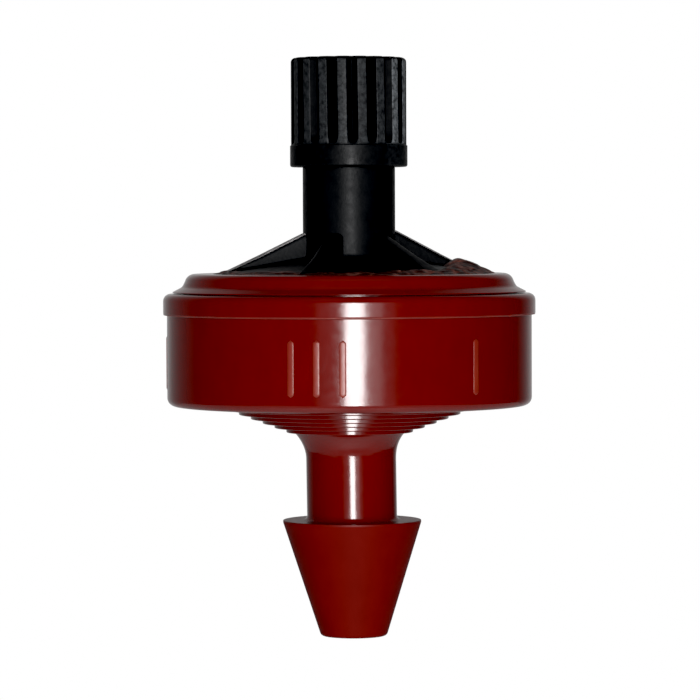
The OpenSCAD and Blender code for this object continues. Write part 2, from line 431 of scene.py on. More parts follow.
class NodeSheet:
    """A material's node tree, with short calls that add and link its nodes."""

    def __init__(self, name: str) -> None:
        """Makes the material, with its principled shader and Object coordinates.

        Args:
            name: The material's name.
        """
        self.material = bpy.data.materials.new(name)
        self.material.use_nodes = True
        self.tree = self.material.node_tree
        self.nodes = self.tree.nodes
        self.shader = self.nodes["Principled BSDF"]
        self.place = self.nodes.new("ShaderNodeTexCoord").outputs["Object"]

    def link(self, source: bpy.types.NodeSocket, node: bpy.types.Node, socket: str | int) -> None:
        """Links an output to a node's input.

        Args:
            source: The output.
            node: The node.
            socket: The name or number of its input.
        """
        self.tree.links.new(source, node.inputs[socket])

    def noise(self, grain: Grain) -> bpy.types.NodeSocket:
        """Adds a noise.

        Args:
            grain: Its size and detail.

        Returns:
            The noise's value, from 0 to 1.
        """
        mapping = self.nodes.new("ShaderNodeMapping")
        mapping.inputs["Scale"].default_value = grain.stretch
        self.link(self.place, mapping, "Vector")
        noise = self.nodes.new("ShaderNodeTexNoise")
        noise.inputs["Scale"].default_value = 1 / grain.size
        noise.inputs["Detail"].default_value = grain.detail
        noise.inputs["Roughness"].default_value = grain.rough
        self.link(mapping.outputs["Vector"], noise, "Vector")
        return noise.outputs["Fac"]

    def spread(
        self, source: bpy.types.NodeSocket, low: float, high: float, to_low: float, to_high: float
    ) -> bpy.types.NodeSocket:
        """Maps a value's range onto another range, clamped at both ends.

        Args:
            source: The value.
            low: Its low end.
            high: Its high end.
            to_low: The result at the low end.
            to_high: The result at the high end.

        Returns:
            The result.
        """
        return map_range(self.tree, source, (low, high, to_low, to_high))

    def sum(self, first: bpy.types.NodeSocket, second: bpy.types.NodeSocket) -> bpy.types.NodeSocket:
        """Adds two values and returns the result."""
        return combine(self.tree, Operation.ADD, first, second)

    def product(self, first: bpy.types.NodeSocket, second: bpy.types.NodeSocket) -> bpy.types.NodeSocket:
        """Multiplies two values and returns the result."""
        return combine(self.tree, Operation.MULTIPLY, first, second)

    def blend(
        self, share: bpy.types.NodeSocket, first: Sequence[float], second: Sequence[float]
    ) -> bpy.types.NodeSocket:
        """Blends two plain colours.

        Args:
            share: How much of the second colour shows, from 0 to 1.
            first: One colour, linear.
            second: The other colour, linear.

        Returns:
            The blended colour.
        """
        node = self.nodes.new("ShaderNodeMix")
        node.data_type = "RGBA"
        node.inputs["A"].default_value = (*first, 1)
        node.inputs["B"].default_value = (*second, 1)
        self.link(share, node, "Factor")
        return node.outputs["Result"]

    def cover(
        self, under: bpy.types.NodeSocket, over: Sequence[float], share: bpy.types.NodeSocket
    ) -> bpy.types.NodeSocket:
        """Covers a colour with a plain one.

        Args:
            under: The colour underneath.
            over: The colour that covers it, linear.
            share: How much of it is covered, from 0 to 1.

        Returns:
            The covered colour.
        """
        node = self.nodes.new("ShaderNodeMix")
        node.data_type = "RGBA"
        node.inputs["B"].default_value = (*over, 1)
        self.tree.links.new(under, next(s for s in node.inputs if s.identifier == "A_Color"))
        self.link(share, node, "Factor")
        return next(s for s in node.outputs if s.identifier == "Result_Color")

    def part(self, axis: str) -> bpy.types.NodeSocket:
        """Splits off one of the place's coordinates.

        Args:
            axis: X, Y or Z.

        Returns:
            The place along that axis.
        """
        node = self.nodes.new("ShaderNodeSeparateXYZ")
        self.link(self.place, node, "Vector")
        return node.outputs[axis]

    def radius(self) -> bpy.types.NodeSocket:
        """Returns the distance from the Z axis: the length of the place with its Z at nought."""
        flat = self.nodes.new("ShaderNodeVectorMath")
        flat.operation = "MULTIPLY"
        flat.inputs[1].default_value = (1, 1, 0)
        self.link(self.place, flat, 0)
        length = self.nodes.new("ShaderNodeVectorMath")
        length.operation = "LENGTH"
        self.link(flat.outputs["Vector"], length, 0)
        return length.outputs["Value"]

    def bump(
        self, relief: bpy.types.NodeSocket, depth: float, below: bpy.types.NodeSocket | None = None
    ) -> bpy.types.NodeSocket:
        """Adds a bump, if need be on top of another one.

        Args:
            relief: The bump's height, from 0 to 1.
            depth: Its full height, in metres.
            below: The normal of the bump that it lies on.

        Returns:
            The bumped normal.
        """
        node = self.nodes.new("ShaderNodeBump")
        node.inputs["Strength"].default_value = 1.0
        node.inputs["Distance"].default_value = depth
        self.link(relief, node, "Height")
        if below is not None:
            self.link(below, node, "Normal")
        return node.outputs["Normal"]


@dataclass(frozen=True)
class MouldedPlastic:
    """Injection-moulded plastic: mottled colour, uneven gloss, and a faintly wavy skin.

    Attributes:
        name: The material's name.
        colour: Its usual colour, linear.
        mottle: The colour of its darker or paler patches.
        gloss: Roughness of the skin.
        gloss_spread: How far the roughness varies.
        grain: Size of the skin's fine texture.
        grain_depth: Depth of the fine texture.
        wave_depth: Depth of the slow waves left by shrinkage.
        specular: The shader's specular level.
        satin_below: Height under which the skin is satin, or None.
        satin: Roughness under that height.
        scuff_and_highlight_radius: Distance from the axis beyond which the crests are painted
            paler, partly scuff marks and partly a painted highlight, or None.
        scuff_and_highlight_colour: The paler colour on the crests: scuff marks and a painted
            highlight.
        scuff_and_highlight_above: Height under which there is hardly any of that paler paint.
        highlight_side: Place along X beyond which the painted highlight is full, on the side
            where the light falls.
        satin_specular: The specular level of the satin skin.
        flute_specular: The specular level inside scuff_and_highlight_radius, in the flutes.
        satin_edge: Half the height over which gloss turns to satin.
        scuff_and_highlight_edge: How far outwards the paler paint fades in.
    """

    name: str
    colour: tuple[float, float, float]
    mottle: tuple[float, float, float]
    gloss: float
    gloss_spread: float
    grain: float = 0.12 * MM
    grain_depth: float = 0.0008 * MM
    wave_depth: float = 0.004 * MM
    specular: float = 0.5
    satin_below: float | None = None
    satin: float = 0.45
    scuff_and_highlight_radius: float | None = None
    scuff_and_highlight_colour: tuple[float, float, float] = (0.13, 0.14, 0.15)
    scuff_and_highlight_above: float = 0.0
    highlight_side: float = 1.6 * MM
    satin_specular: float = 0.06
    flute_specular: float = 0.01
    satin_edge: float = 0.1 * MM
    scuff_and_highlight_edge: float = 0.02 * MM

    def make(self) -> bpy.types.Material:
        """Builds the material and returns it."""
        sheet = NodeSheet(self.name)
        shader = sheet.shader
        shader.inputs["Specular IOR Level"].default_value = self.specular
        mottling = sheet.sum(sheet.noise(PATCHES), sheet.noise(FLOW_LINES))
        share = sheet.spread(mottling, 0.75, 1.3, 0, 1)
        skin_colour = sheet.blend(share, self.colour, self.mottle)
        # The crests are painted paler: partly scuff marks, partly a painted highlight that is full on
        # the +X side.
        if self.scuff_and_highlight_radius is not None:
            skin_colour = sheet.cover(skin_colour, self.scuff_and_highlight_colour, self.scuffs_and_highlight(sheet))
            full = self.scuff_and_highlight_radius + self.scuff_and_highlight_edge
            ends = (self.flute_specular, self.specular)
            crests = sheet.spread(sheet.radius(), self.scuff_and_highlight_radius, full, *ends)
            sheet.link(crests, shader, "Specular IOR Level")
        sheet.link(skin_colour, shader, "Base Color")
        low, high = self.gloss - self.gloss_spread, self.gloss + self.gloss_spread
        rough = sheet.spread(sheet.noise(GLOSS_SPOTS), 0.3, 0.7, low, high)
        if self.satin_below is not None:
            extra = self.satin - self.gloss
            height = sheet.part("Z")
            low_end, high_end = self.satin_below - self.satin_edge, self.satin_below + self.satin_edge
            rough = sheet.sum(rough, sheet.spread(height, low_end, high_end, extra, 0))
            dull = sheet.spread(height, low_end, high_end, self.satin_specular, self.specular)
            sheet.link(dull, shader, "Specular IOR Level")
        sheet.link(rough, shader, "Roughness")
        waves = sheet.bump(sheet.noise(SHRINK_WAVES), self.wave_depth)
        skin = sheet.bump(sheet.noise(Grain(self.grain, 2.0, 0.5)), self.grain_depth, waves)
        sheet.link(skin, shader, "Normal")
        return sheet.material

    def scuffs_and_highlight(self, sheet: NodeSheet) -> bpy.types.NodeSocket:
        """Finds where the crests are painted paler: scuff marks in speckles, and a painted
        highlight that is full on the +X side, where the light falls.

        Args:
            sheet: The material's nodes.

        Returns:
            How much of the skin is painted paler, from 0 to 1.
        """
        speckle = sheet.spread(sheet.noise(SCUFF_SPECKLE), 0.38, 0.62, 0.1, 1)
        reach = sheet.spread(sheet.radius(), self.scuff_and_highlight_radius, self.scuff_and_highlight_radius + self.scuff_and_highlight_edge, 0, 1)
        above = sheet.spread(sheet.part("Z"), self.scuff_and_highlight_above, self.scuff_and_highlight_above + 0.1 * MM, 0.08, 1)
        # A painted highlight: full on the +X side, where the light falls.
        side = sheet.spread(sheet.part("X"), self.highlight_side, self.highlight_side + 0.3 * MM, 0.2, 1)
        return sheet.product(sheet.product(speckle, sheet.product(reach, above)), side)


@dataclass(frozen=True)
class WeldFlash:
    """Rough, melted red plastic smeared over the black cover's edge.

    Attributes:
        name: The material's name.
        dark: Colour where the smear is thin.
        pale: Colour of its thick, rubbed crumbs.
    """

    name: str
    dark: tuple[float, float, float]
    pale: tuple[float, float, float]

    def make(self) -> bpy.types.Material:
        """Builds the material and returns it."""
        sheet = NodeSheet(self.name)
        share = sheet.spread(sheet.noise(SMEARS), 0.47, 0.62, 0, 1)
        sheet.link(sheet.blend(share, self.dark, self.pale), sheet.shader, "Base Color")
        sheet.shader.inputs["Roughness"].default_value = 0.5
        crumbs = sheet.bump(sheet.noise(CRUMBS), 0.03 * MM)
        sheet.link(crumbs, sheet.shader, "Normal")
        return sheet.material


@dataclass(frozen=True)
class Silicone:
    """Soft matt silicone with a dusty bloom.

    Attributes:
        name: The material's name.
        colour: Its colour.
        bloom: The colour of its bloom.
    """

    name: str
    colour: tuple[float, float, float]
    bloom: tuple[float, float, float]

    def make(self) -> bpy.types.Material:
        """Builds the material and returns it."""
        sheet = NodeSheet(self.name)
        share = sheet.spread(sheet.noise(BLOOM_PATCHES), 0.45, 0.75, 0, 1)
        sheet.link(sheet.blend(share, self.colour, self.bloom), sheet.shader, "Base Color")
        sheet.link(sheet.spread(share, 0, 1, 0.5, 0.7), sheet.shader, "Roughness")
        sheet.link(sheet.bump(sheet.noise(SILICONE_SKIN), 0.002 * MM), sheet.shader, "Normal")
        return sheet.material


@dataclass
class Finishes:
    """The materials, one for each slot and three more, made once: the melted flash, a paler
    red that is a painted sheen, and a pale grey that is a painted highlight.

    Attributes:
        made: Each slot's own material.
        crest_radius: Distance from the axis of the cap's crests.
        collar_top: Height of the cap's collar.
        flash: The material of the weld flash.
        sheen_red: The paler, more orange red of the bars and the parting line, a painted sheen.
        highlight_black: The pale grey on the gussets' top edges, a painted highlight.
    """

    made: dict[Slot, bpy.types.Material] = field(default_factory=dict)
    crest_radius: float = 2.625 * MM
    collar_top: float = 13.07 * MM
    flash: bpy.types.Material | None = None
    sheen_red: bpy.types.Material | None = None
    highlight_black: bpy.types.Material | None = None

    def make_all(self, barb_shoulder: float) -> None:
        """Builds every material.

        Args:
            barb_shoulder: Height of the barb's shoulder, under which the red is satin.
        """
        red = MouldedPlastic(
            "brick_red_plastic", (0.121, 0.0046, 0.0026), (0.109, 0.0038, 0.002), 0.14, 0.03,
            wave_depth=0.0035 * MM, satin_below=barb_shoulder, satin=0.55,
        )
        black = MouldedPlastic(
            "black_plastic", (0.004, 0.0045, 0.0052), (0.0055, 0.006, 0.007), 0.4, 0.08,
            grain=0.14 * MM, grain_depth=0.006 * MM, wave_depth=0.004 * MM, specular=0.075,
        )
        # The cap's crests are painted paler: scuff marks and a painted highlight.
        cap = MouldedPlastic(
            "cap_black_plastic", (0.003, 0.0033, 0.0038), (0.004, 0.0044, 0.005), 0.38, 0.1,
            grain=0.16 * MM, grain_depth=0.009 * MM, wave_depth=0.006 * MM, specular=0.08,
            scuff_and_highlight_radius=self.crest_radius - 0.03 * MM, scuff_and_highlight_above=self.collar_top,
        )
        natural = MouldedPlastic(
            "natural_plastic", (0.62, 0.6, 0.52), (0.52, 0.5, 0.42), 0.38, 0.08,
        )
        strainer = MouldedPlastic(
            "strainer_plastic", (0.02, 0.021, 0.024), (0.03, 0.032, 0.034), 0.42, 0.08,
        )
        silicone = Silicone("silicone", (0.045, 0.045, 0.05), (0.11, 0.11, 0.11))
        self.made = {
            Slot.RED: red.make(), Slot.BLACK: black.make(), Slot.CAP: cap.make(),
            Slot.NATURAL: natural.make(), Slot.STRAINER: strainer.make(), Slot.SILICONE: silicone.make(),
        }
        self.flash = WeldFlash("weld_flash", (0.02, 0.003, 0.002), (0.16, 0.05, 0.036)).make()
        # A paler, more orange red for the bars and the parting line: a painted sheen.
        self.sheen_red = MouldedPlastic(
            "sheen_red_plastic", (0.2, 0.022, 0.01), (0.16, 0.01, 0.005), 0.38, 0.06,
            grain_depth=0.004 * MM,
        ).make()
        # A pale grey painted highlight for the top edges of two gussets.
        self.highlight_black = MouldedPlastic(
            "highlight_black_plastic", (0.05, 0.045, 0.047), (0.24, 0.225, 0.225), 0.45, 0.08,
            grain_depth=0.006 * MM, specular=0.5,
        ).make()

    def dress(
        self, piece: bpy.types.Object, slot: Slot, material: bpy.types.Material | None = None
    ) -> None:
        """Gives a piece its slot's material, or another one that takes its place.

        Args:
            piece: The object.
            slot: The record's slot that it belongs to.
            material: The material to use in place of the slot's own.
        """
        piece.data.materials.clear()
        piece.data.materials.append(material or self.made[slot])


# --------------------------------------------------------------------------------------
# Sub-assemblies
# --------------------------------------------------------------------------------------


@dataclass
class SubAssembly:
    """What every group of pieces shares: the finishes, and a way to place a piece on a body.

    Attributes:
        finishes: The materials.
    """

    finishes: Finishes

    def place(
        self, piece: bpy.types.Object, slot: Slot, body: str = BODY, stands_for: str | None = None,
        material: bpy.types.Material | None = None,
    ) -> None:
        """Dresses a piece, makes it ride on a body, and reports it.

        Args:
            piece: The object.
            slot: Its material slot.
            body: The body that it moves with.
            stands_for: The frame's node that it replaces, if any.
            material: The material to use in place of the slot's own.
        """
        self.finishes.dress(piece, slot, material)
        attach(piece, body)
        if stands_for is not None:
            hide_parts(stands_for)
        LOG.info("%s: %d faces, rides on %s", piece.name, len(piece.data.polygons), body)


@dataclass
class InletBody(SubAssembly):
    """The red body: barb, neck, terraces, wall, bead and the cup inside.

    Attributes:
        neck_radius: Radius of the neck.
        neck_length: Length of the neck.
        bore_radius: Radius of the inlet bore.
        tip_radius: Radius of the barb's tip.
        shoulder_radius: Radius of the barb's shoulder.
        wall_radius: Radius of the side wall.
        wall_thickness: Thickness of the side wall.
        underside: Height at which the side wall begins.
        floor: Height of the cup's floor.
        bead_height: Height of the bead at the wall's top.
        terraces: Number of steps on the underside.
        first_tread: Radius of the lowest step.
        tread: Width of each step.
        ring_seat_radius: Radius of the recess that the ring sits in.
        ring_seat: Height of that recess's floor.
        pocket_radius: Radius of the strainer's pocket.
        pocket_depth: Depth of the strainer's pocket.
        chamber_radius: Radius of the chamber under the strainer.
        chamber_depth: Depth of that chamber.
        flare_height: Height of the flare between the neck and the underside.
        flare: How much the flare widens the neck.
        lean: How far the barb's tip leans to one side.
        neck_shift: How far the neck stands to that side.
        seam_inset: How far inside the bead's skin the parting line's middle runs.
        seam_thickness: Half the parting line's thickness.
        seam_waver: How much that varies.
        nibs: Direction in degrees and size of each nib on the parting line.
        nib_spread: How wide a nib is, in degrees.
        bar_height: Height of a raised bar.
        bar_width: Its width.
        bar_proud: How far it stands out of the wall.
        bar_sunk: How far it reaches into the wall.
        bar_middle: Height of its middle above the underside.
        bar_directions: Direction of each bar round the axis, in degrees.
        segments: Number of steps of the shell round the axis.
    """

    neck_radius: float = 2.05 * MM
    neck_length: float = 4.0 * MM
    bore_radius: float = 0.9 * MM
    tip_radius: float = 1.5 * MM
    shoulder_radius: float = 3.15 * MM
    wall_radius: float = 8.3 * MM
    wall_thickness: float = 1.1 * MM
    underside: float = 1.23 * MM
    floor: float = 2.33 * MM
    bead_height: float = 0.95 * MM
    terraces: int = 6
    first_tread: float = 2.89 * MM
    tread: float = 0.54 * MM
    ring_seat_radius: float = 7.6 * MM
    ring_seat: float = 5.68 * MM
    pocket_radius: float = 2.1 * MM
    pocket_depth: float = 0.5 * MM
    chamber_radius: float = 1.7 * MM
    chamber_depth: float = 0.7 * MM
    flare_height: float = 1.2 * MM
    flare: float = 0.48 * MM
    lean: float = 0.12 * MM
    neck_shift: float = 0.045 * MM
    seam_inset: float = 0.035 * MM
    seam_thickness: float = 0.026 * MM
    seam_waver: float = 0.007 * MM
    nibs: tuple[tuple[float, float], ...] = (
        (-32.5, 0.09 * MM), (-144.5, 0.05 * MM), (64.0, 0.07 * MM),
    )
    nib_spread: float = 0.45
    bar_height: float = 2.5 * MM
    bar_width: float = 0.3 * MM
    bar_proud: float = 0.04 * MM
    bar_sunk: float = 0.06 * MM
    bar_middle: float = 1.95 * MM
    bar_directions: tuple[int, ...] = (-180, -108, -100, -92, -48, 20, 28, 36, 100, 140, 148)
    segments: int = 300

    def outline(self) -> list[tuple[float, float, float]]:
        """Lists the corners of the body's outline, from the bore at the tip and back inside.

        The flare is an arc of radius (h^2 + f^2) / 2f, for a flare of height h and width f.

        Returns:
            (radius from the axis, height, corner radius) for each corner.
        """
        low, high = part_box("inlet_body")
        tip, top, bead_radius = low.z, high.z, high.x
        shoulder = -self.neck_length
        curve = (self.flare_height**2 + self.flare**2) / (2 * self.flare)
        turns = np.linspace(0, math.asin(self.flare_height / curve), 12)
        flare_arc = [
            (self.neck_radius + curve * (1 - math.cos(t)), -self.flare_height + curve * math.sin(t), 0)
            for t in turns
        ]
        corners = [
            (self.bore_radius, tip, 0.12 * MM),
            (self.tip_radius, tip, 0.2 * MM),
            (self.shoulder_radius, shoulder - 0.1 * MM, 0.05 * MM),
            (self.shoulder_radius, shoulder, 0.035 * MM),
            (self.neck_radius, shoulder, 0.23 * MM),
            *flare_arc,
        ]
        rise = self.underside / self.terraces
        for k in range(self.terraces):
            radius = self.first_tread + k * self.tread
            corners += [(radius, k * rise, 0.04 * MM), (radius, (k + 1) * rise, 0.04 * MM)]
        bead_foot = top - self.bead_height
        chamber_floor = self.floor - self.pocket_depth - self.chamber_depth
        corners += [
            (self.wall_radius, self.underside, 0.38 * MM),
            (self.wall_radius, bead_foot, 0.05 * MM),
            (bead_radius, bead_foot, 0.07 * MM),
            (bead_radius, top, 0.33 * MM),
            (self.ring_seat_radius, top, 0.04 * MM),
            (self.ring_seat_radius, self.ring_seat, 0.03 * MM),
            (self.wall_radius - self.wall_thickness, self.ring_seat, 0.03 * MM),
            (self.wall_radius - self.wall_thickness, self.floor, 0.1 * MM),
            (self.pocket_radius, self.floor, 0.03 * MM),
            (self.pocket_radius, self.floor - self.pocket_depth, 0.03 * MM),
            (self.chamber_radius, self.floor - self.pocket_depth, 0.03 * MM),
            (self.chamber_radius, chamber_floor, 0.03 * MM),
            (self.bore_radius, chamber_floor, 0.05 * MM),
        ]
        return corners

    def build(self) -> None:
        """Builds the shell and its raised bars."""
        outline = round_corners(self.outline(), closed=True)
        shell = revolve("body_shell", outline, self.segments)
        self.lean_barb(shell)
        self.place(shell, Slot.RED, stands_for="inlet_body")
        # The bars and the parting line wear the paler red, a painted sheen.
        self.place(self.raised_bars(), Slot.RED, material=self.finishes.sheen_red)
        self.place(self.bead_seam(), Slot.RED, material=self.finishes.sheen_red)

    def bead_seam(self) -> bpy.types.Object:
        """Builds the thin parting line under the bead, with its few nibs.

        It is a small round section carried round the wall. Its thickness is a ripple of the
        angle, and swells by a bell curve at each nib.

        Returns:
            The parting line.
        """
        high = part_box("inlet_body")[1]
        foot = high.z - self.bead_height
        angle = np.linspace(0, TURN, 1080, endpoint=False)[:, None]
        around = np.linspace(0, TURN, 8, endpoint=False)[None, :]
        thick = self.seam_thickness + self.seam_waver * ripple(angle, 31, 9, 60)
        for degrees, size in self.nibs:
            away = np.mod(np.degrees(angle) - degrees + 180, 360) - 180
            thick = thick + size * np.exp(-((away / self.nib_spread) ** 2))
        radius = high.x - self.seam_inset + np.minimum(thick, self.seam_inset) * np.cos(around)
        rise = foot + thick * (0.5 + np.sin(around))
        points = np.stack([radius * np.cos(angle), radius * np.sin(angle), rise], axis=-1)
        quads = grid_quads(points.shape[0], points.shape[1], True, True)[:, ::-1]
        return make_mesh("bead_seam", points.reshape(-1, 3), quads)

    def lean_barb(self, shell: bpy.types.Object) -> None:
        """Moves the neck and the barb slightly to one side, more so towards the tip.

        A point at height z below the stop face moves along X by lean * (z / tip height), and
        by the neck's own small shift, which fades in along the flare.

        Args:
            shell: The body's shell.
        """
        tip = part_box("inlet_body")[0].z
        spots = np.empty(len(shell.data.vertices) * 3, np.float32)
        shell.data.vertices.foreach_get("co", spots)
        spots = spots.reshape(-1, 3)
        spots[:, 0] += self.lean * np.clip(spots[:, 2] / tip, 0, 1)
        spots[:, 0] += self.neck_shift * smooth_step(-spots[:, 2], 0, self.flare_height)
        shell.data.vertices.foreach_set("co", spots.ravel())
        shell.data.update()

    def raised_bars(self) -> bpy.types.Object:
        """Builds the plain upright bars on the wall.

        Each is a rounded section, half an ellipse above the wall, carried up the wall and
        shrunk to nothing at its ends along a quarter circle.

        Returns:
            All the bars, as one object.
        """
        middle = self.underside + self.bar_middle
        around = np.linspace(0, TURN, 24, endpoint=False)
        along = np.linspace(-1, 1, 25)
        swell = np.clip((1 - np.abs(along)) * self.bar_height / self.bar_width, 0, 1)
        swell = np.sqrt(1 - (1 - swell) ** 2) * 0.97 + 0.03
        rise_of = (middle + along * self.bar_height / 2)[:, None]
        bars = []
        for degrees in self.bar_directions:
            across = np.cos(around)[None, :] * swell[:, None] * self.bar_width / 2
            out = np.where(np.sin(around) > 0, self.bar_proud, self.bar_sunk) * np.sign(np.sin(around))
            out = out * np.abs(np.sin(around)) ** 0.5
            radius = self.wall_radius + out[None, :] * swell[:, None]
            angle = math.radians(degrees) + across / self.wall_radius
            rise = np.broadcast_to(rise_of, angle.shape)
            points = np.stack([radius * np.cos(angle), radius * np.sin(angle), rise], axis=-1)
            bars.append(carry(f"bar_{degrees}", points))
        return join("wall_bars", bars)


@dataclass
class RetainingRing(SubAssembly):
    """The red ring over the body's bead, with a domed side and weld flash at its bore.

    Attributes:
        bore_radius: Radius of the hole that the cover's boss fills.
        skirt_inner: Inner radius of the skirt that drops into the body's recess.
        skirt_outer: Its outer radius.
        waist_inset: How far the waist lies inside the ring's lip.
        waist_height: Height of the waist above the seat.
        crown: Radius of the round edge of the top.
        crown_inset: How far the middle of that round edge lies inside the lip.
        lip: Thickness of the lip.
        seat: Height at which the ring rests on the cover's flange.
        flash_inset: How far the flash's middle lies inside the bore.
        flash_half_width: Half the flash's width.
        flash_thickness: The flash's thickness.
        flash_extra: How much thicker it is beyond the direction flash_from.
        flash_from: Directions over which it thickens, in degrees from the back.
        flash_ripples: Weight, slant, seed, fewest and most waves of each ripple in it.
        flash_sunk: How far its ground lies under the surface.
        flash_root: How far it reaches into the pieces.
        heap: Height of the heap on the +X side.
        heap_facing: The heap's direction, in degrees from the back.
        heap_spread: How wide it is, in degrees.
        heap_inset: How much further inwards its middle lies.
        heap_half_width: How much it adds to the flash's half width.
        heap_end: Radius at which it has run out.
        heap_run: Length over which it runs out.
        cover_edge: Radius of the black cover's upper edge.
        cover_rise: How far that edge stands above the ring's top.
        cover_slope: Slope of the black cone.
    """

    bore_radius: float = 5.9 * MM
    skirt_inner: float = 7.15 * MM
    skirt_outer: float = 7.55 * MM
    waist_inset: float = 0.44 * MM
    waist_height: float = 0.26 * MM
    crown: float = 0.45 * MM
    crown_inset: float = 1.0 * MM
    lip: float = 0.1 * MM
    seat: float = 6.38 * MM
    flash_inset: float = 0.1 * MM
    flash_half_width: float = 0.5 * MM
    flash_thickness: float = 0.15 * MM
    flash_extra: float = 0.08 * MM
    flash_from: tuple[float, float] = (12, 30)
    flash_ripples: tuple[tuple[float, float, int, int, int], ...] = (
        (0.6, 0.1, 13, 5, 24), (0.35, -0.06, 11, 20, 70), (0.1, 0.02, 12, 60, 140),
    )
    flash_sunk: float = 0.05 * MM
    flash_root: float = 0.25 * MM
    heap: float = 0.44 * MM
    heap_facing: float = 88
    heap_spread: float = 26
    heap_inset: float = 0.35 * MM
    heap_half_width: float = 0.75 * MM
    heap_end: float = 6.5 * MM
    heap_run: float = 2 * MM
    cover_edge: float = 5.85 * MM
    cover_rise: float = 0.05 * MM
    cover_slope: float = 0.65 / 3.75

    def build(self) -> None:
        """Builds the ring and its weld flash."""
        low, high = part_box("retaining_ring")
        foot, top, radius = low.z, high.z, high.x
        waist = radius - self.waist_inset
        turns = np.radians(np.linspace(15, 90, 9))
        crown_radius = radius - self.crown_inset
        crown = [
            (crown_radius + self.crown * math.cos(t), top - self.crown * (1 - math.sin(t)), 0)
            for t in turns
        ]
        corners = [
            (self.bore_radius, self.seat, 0.02 * MM),
            (self.skirt_inner, self.seat, 0.02 * MM),
            (self.skirt_inner, foot, 0.03 * MM),
            (self.skirt_outer, foot, 0.03 * MM),
            (self.skirt_outer, self.seat, 0.02 * MM),
            (radius, self.seat, 0.04 * MM),
            (radius, self.seat + self.lip / 3, 0.03 * MM),
            (waist, self.seat + self.waist_height, 0.25 * MM),
            *crown,
            (self.bore_radius, top, 0.05 * MM),
        ]
        shell = revolve("ring_shell", round_corners(corners, closed=True), 360)
        self.place(shell, Slot.RED, stands_for="retaining_ring")
        self.place(self.weld_flash(top), Slot.RED, material=self.finishes.flash)

    def weld_flash(self, top: float) -> bpy.types.Object:
        """Builds the smear of melted plastic over the joint, and its heap on one side.

        Its upper surface is a band round the bore whose height is a half ellipse across the
        band times a sum of ripples, so only its crests come out of the cover and the ring.
        The heap is a bell curve of the angle that runs out outwards.

        Args:
            top: Height of the ring's top.

        Returns:
            The flash, a closed loop round the axis.
        """
        angle = np.arange(1080)[:, None] * TURN / 1080
        across = np.linspace(-1, 1, 25)[None, :]
        facing = np.mod(np.degrees(angle) + 270, 360) - 180
        mound = np.exp(-(((facing - self.heap_facing) / self.heap_spread) ** 2))
        middle = self.bore_radius - (self.flash_inset + self.heap_inset * mound)
        radius = middle + across * (self.flash_half_width + self.heap_half_width * mound)
        relief = sum(
            weight * ripple(angle + slant * across, seed, fewest, most)
            for weight, slant, seed, fewest, most in self.flash_ripples
        )
        edge = np.sqrt(np.clip(1 - across**2, 0, 1))
        cone = top + self.cover_rise + (self.cover_edge - radius) * self.cover_slope
        ground = np.where(radius < self.bore_radius, cone, top)
        thick = self.flash_thickness + self.flash_extra * smooth_step(facing, *self.flash_from)
        heap = self.heap * mound * np.clip((self.heap_end - radius) / self.heap_run, 0, 1) ** 0.8
        heap = heap * smooth_step(across, -1, -0.3)
        height = ground + thick * edge * (0.6 + 0.45 * relief) + heap - self.flash_sunk
        under = ground - self.flash_root
        flat = (radius * np.cos(angle), radius * np.sin(angle))
        upper, lower = (np.stack((*flat, level), axis=-1) for level in (height, under))
        loop = np.concatenate([upper[:, ::-1], lower], axis=1)
        quads = grid_quads(loop.shape[0], loop.shape[1], True, True)
        return make_mesh("weld_flash", loop.reshape(-1, 3), quads)


